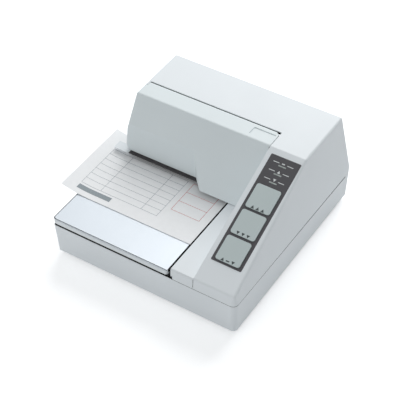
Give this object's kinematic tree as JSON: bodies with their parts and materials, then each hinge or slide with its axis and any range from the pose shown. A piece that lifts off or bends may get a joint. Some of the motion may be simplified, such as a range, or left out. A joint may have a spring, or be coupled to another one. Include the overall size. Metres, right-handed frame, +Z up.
{
  "type": "slip printer",
  "caption": "Compact desktop dot matrix printer for single forms: open slip table, hinged ribbon cover, sloped key tower, print carriage, paper feed and rear sockets.",
  "frame": {"origin": "centre of the lower case's flat underside; the rubber feet reach 3 mm below it", "axes": "+X to the operator's right, +Y to the rear, +Z up"},
  "size_m": [0.197, 0.1925, 0.097],
  "materials": {
    "case_white": "fine moulded texture, satin",
    "table_steel": "stainless sheet, finely brushed",
    "cover_grey": "fine moulded texture, satin",
    "key_grey": "fine satin keycap",
    "panel_black": "matt printed film on a moulded panel",
    "lens_clear": "clear moulded light pipe",
    "steel": "plain turned steel",
    "ground_steel": "ground and polished",
    "zinc_plate": "pressed zinc plated sheet",
    "head_casting": "die cast, blasted",
    "motor_case": "drawn steel can, dark plating",
    "black_plastic": "glass filled moulding",
    "cassette_black": "fine moulded texture",
    "ivory_plastic": "natural acetal",
    "circuit_board": "green solder resist",
    "brass": "turned",
    "belt_rubber": "moulded belt",
    "inked_fabric": "woven nylon, inked",
    "hard_rubber": "hard ground rubber",
    "roller_rubber": "ground rubber",
    "foot_rubber": "moulded rubber",
    "form_paper": "several plies of carbonless paper"
  },
  "bodies": {
    "frame": {"lower_case": "case_white", "upper_case": "case_white", "slip_table": "case_white", "table_plate": "table_steel", "paper_guide": "case_white", "control_panel": "panel_black", "indicator_lenses": "lens_clear", "panel_board": "circuit_board", "left_side_plate": "zinc_plate", "right_side_plate": "zinc_plate", "rear_frame_plate": "zinc_plate", "upper_guide_plate": "zinc_plate", "guide_shaft": "ground_steel", "carriage_rail": "zinc_plate", "carriage_motor": "motor_case", "idler_pin": "steel", "carriage_belt": "belt_rubber", "ribbon_cassette": "cassette_black", "ink_ribbon": "inked_fabric", "platen": "hard_rubber", "platen_beam": "zinc_plate", "feed_plate": "zinc_plate", "feed_motor": "motor_case", "release_solenoid": "zinc_plate", "main_board": "circuit_board", "interface_board": "circuit_board", "interface_connector": "steel", "power_inlet": "black_plastic", "switch_housing": "black_plastic", "ground_screw": "brass", "switch_bank_cover": "case_white", "case_screws": "steel", "rubber_feet": "foot_rubber"},
    "ribbon_cover": {"ribbon_cover": "cover_grey", "hinge_pins": "steel"},
    "feed_button": {"feed_button": "key_grey"},
    "reverse_button": {"reverse_button": "key_grey"},
    "release_button": {"release_button": "key_grey"},
    "power_rocker": {"power_rocker": "black_plastic"},
    "carriage": {"carriage": "black_plastic", "print_head": "head_casting"},
    "drive_pulley": {"drive_pulley": "steel"},
    "idler_pulley": {"idler_pulley": "black_plastic"},
    "ribbon_drive": {"ribbon_knob": "ivory_plastic", "ribbon_gear": "ivory_plastic"},
    "slip": {"slip_form": "form_paper"},
    "feed_roller": {"feed_shaft": "ground_steel", "feed_rollers": "roller_rubber", "feed_gear": "ivory_plastic"},
    "feed_rotor": {"feed_pinion": "brass"},
    "pinch_arm": {"pinch_arm": "zinc_plate", "pinch_pivot": "ground_steel"},
    "pinch_rollers": {"pinch_shaft": "ground_steel", "pinch_rollers": "roller_rubber"},
    "plunger": {"solenoid_plunger": "steel"},
    "form_stopper": {"form_stopper": "zinc_plate"}
  },
  "joints": [
    {"name": "cover_hinge", "type": "hinge", "parent": "frame", "child": "ribbon_cover", "pos_m": [-0.017, 0.041, 0.092], "axis": [-1, 0, 0], "range_deg": [0, 95]},
    {"name": "feed_button_press", "type": "slide", "parent": "frame", "child": "feed_button", "axis": [0, 0.387, -0.9221], "range_m": [0, 0.0009], "stiffness_N_per_m": 1600, "springref_m": -0.0002},
    {"name": "reverse_button_press", "type": "slide", "parent": "frame", "child": "reverse_button", "axis": [0, 0.387, -0.9221], "range_m": [0, 0.0009], "stiffness_N_per_m": 1600, "springref_m": -0.0002},
    {"name": "release_button_press", "type": "slide", "parent": "frame", "child": "release_button", "axis": [0, 0.387, -0.9221], "range_m": [0, 0.0009], "stiffness_N_per_m": 1600, "springref_m": -0.0002},
    {"name": "power_switch", "type": "hinge", "parent": "frame", "child": "power_rocker", "pos_m": [0.039, 0.0926, 0.017], "axis": [0, 0, 1], "range_deg": [0, 18]},
    {"name": "carriage_slide", "type": "slide", "parent": "frame", "child": "carriage", "axis": [1, 0, 0], "range_m": [0, 0.073]},
    {"name": "drive_pulley_spin", "type": "hinge", "parent": "frame", "child": "drive_pulley", "pos_m": [0.036, 0.056, 0.064], "axis": [0, 1, 0], "continuous": true},
    {"name": "idler_pulley_spin", "type": "hinge", "parent": "frame", "child": "idler_pulley", "pos_m": [-0.068, 0.056, 0.064], "axis": [0, 1, 0], "continuous": true},
    {"name": "ribbon_drive_spin", "type": "hinge", "parent": "frame", "child": "ribbon_drive", "pos_m": [0.028, 0.056, 0.078], "axis": [0, 1, 0], "continuous": true},
    {"name": "slip_feed", "type": "slide", "parent": "frame", "child": "slip", "axis": [0, 1, 0], "range_m": [-0.06, 0]},
    {"name": "feed_roller_spin", "type": "hinge", "parent": "frame", "child": "feed_roller", "pos_m": [0, 0.046, 0.033], "axis": [1, 0, 0], "continuous": true},
    {"name": "feed_motor_spin", "type": "hinge", "parent": "frame", "child": "feed_rotor", "pos_m": [0.05, 0.06602, 0.02199], "axis": [1, 0, 0], "continuous": true},
    {"name": "pinch_arm_lift", "type": "hinge", "parent": "frame", "child": "pinch_arm", "pos_m": [-0.017, 0.058, 0.0495], "axis": [-1, 0, 0], "range_deg": [0, 10]},
    {"name": "pinch_roller_spin", "type": "hinge", "parent": "pinch_arm", "child": "pinch_rollers", "pos_m": [-0.017, 0.046, 0.0444], "axis": [1, 0, 0], "continuous": true},
    {"name": "plunger_pull", "type": "slide", "parent": "frame", "child": "plunger", "axis": [0, 1, 0], "range_m": [0, 0.00102]},
    {"name": "stopper_lift", "type": "slide", "parent": "frame", "child": "form_stopper", "axis": [0, 0, 1], "range_m": [0, 0.0051]}
  ],
  "couplings": [
    {"joint": "drive_pulley_spin", "follows": "carriage_slide", "rad_per_m": -166.67},
    {"joint": "idler_pulley_spin", "follows": "carriage_slide", "rad_per_m": -166.67},
    {"joint": "ribbon_drive_spin", "follows": "carriage_slide", "rad_per_m": 80.247},
    {"joint": "feed_roller_spin", "follows": "slip_feed", "rad_per_m": -166.67},
    {"joint": "feed_motor_spin", "follows": "slip_feed", "rad_per_m": 696.97},
    {"joint": "pinch_roller_spin", "follows": "slip_feed", "rad_per_m": 222.22},
    {"joint": "pinch_arm_lift", "follows": "plunger_pull", "rad_per_m": 169.4},
    {"joint": "stopper_lift", "follows": "plunger_pull", "ratio": 4.847}
  ]
}
